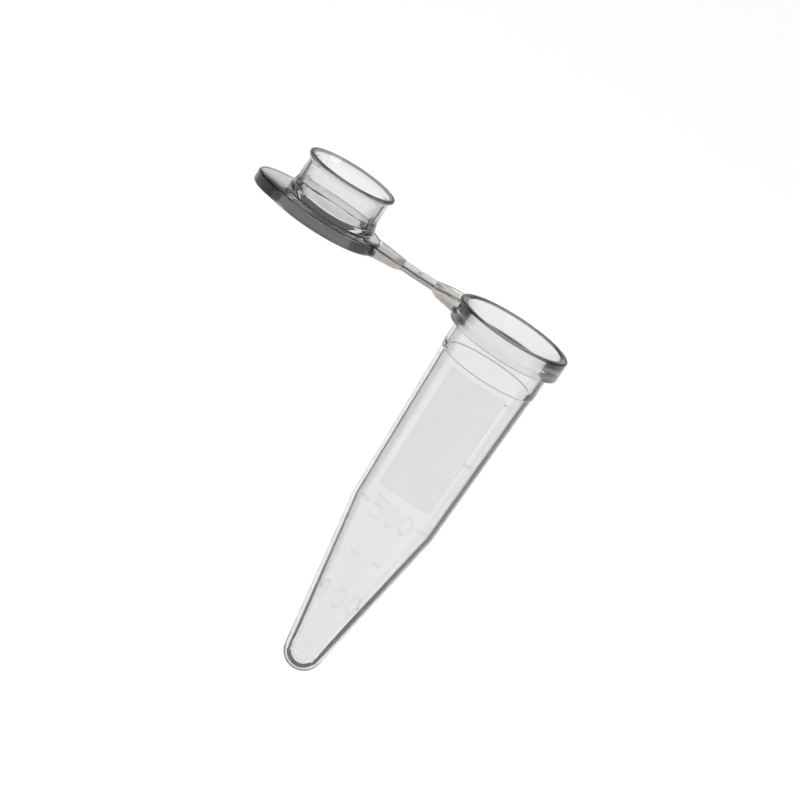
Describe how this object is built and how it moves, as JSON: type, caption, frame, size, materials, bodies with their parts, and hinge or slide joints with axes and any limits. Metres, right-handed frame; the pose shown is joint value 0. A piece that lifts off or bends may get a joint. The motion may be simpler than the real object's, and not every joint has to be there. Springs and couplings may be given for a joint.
{
  "type": "microcentrifuge tube",
  "caption": "Clear conical-bottom microcentrifuge tube, shown open, with a snap lid on a living hinge, frosted writing panel and raised graduations.",
  "frame": {"origin": "on the tube's axis, level with the underside of the mouth collar, where the tube hangs in a rack or rotor", "axes": "+Z along the tube's axis out of the mouth; the lid lies open towards -X, as moulded; the writing panel and graduations face -Y"},
  "size_m": [0.0363, 0.0128, 0.046],
  "materials": {
    "clear_pp": "clear polypropylene, smooth and glossy, faintly hazy",
    "frosted_pp": "the same polypropylene with a fine frosted mould texture, for writing on"
  },
  "bodies": {
    "tube": {"mouth_collar": "clear_pp", "neck_band": "clear_pp", "barrel_wall": "clear_pp", "cone_wall": "clear_pp", "tip_cap": "clear_pp", "writing_panel": "frosted_pp", "mark_1500": "clear_pp", "mark_1000": "clear_pp", "mark_500": "clear_pp", "mark_250": "clear_pp", "mark_100": "clear_pp", "tube_lug": "clear_pp", "tube_lug_ribs": "clear_pp", "hinge_web": "clear_pp"},
    "lid": {"lid_disc": "clear_pp", "plug_foot": "clear_pp", "plug_skirt": "clear_pp", "plug_lip": "clear_pp", "lid_lug": "clear_pp", "lid_lug_ribs": "clear_pp"}
  },
  "joints": [
    {"name": "lid_hinge", "type": "hinge", "parent": "tube", "child": "lid", "pos_m": [-0.0109, 0, 0.00217], "axis": [0, 1, 0], "range_deg": [0, 180], "deforming": ["hinge_web", "plug_lip"]}
  ]
}
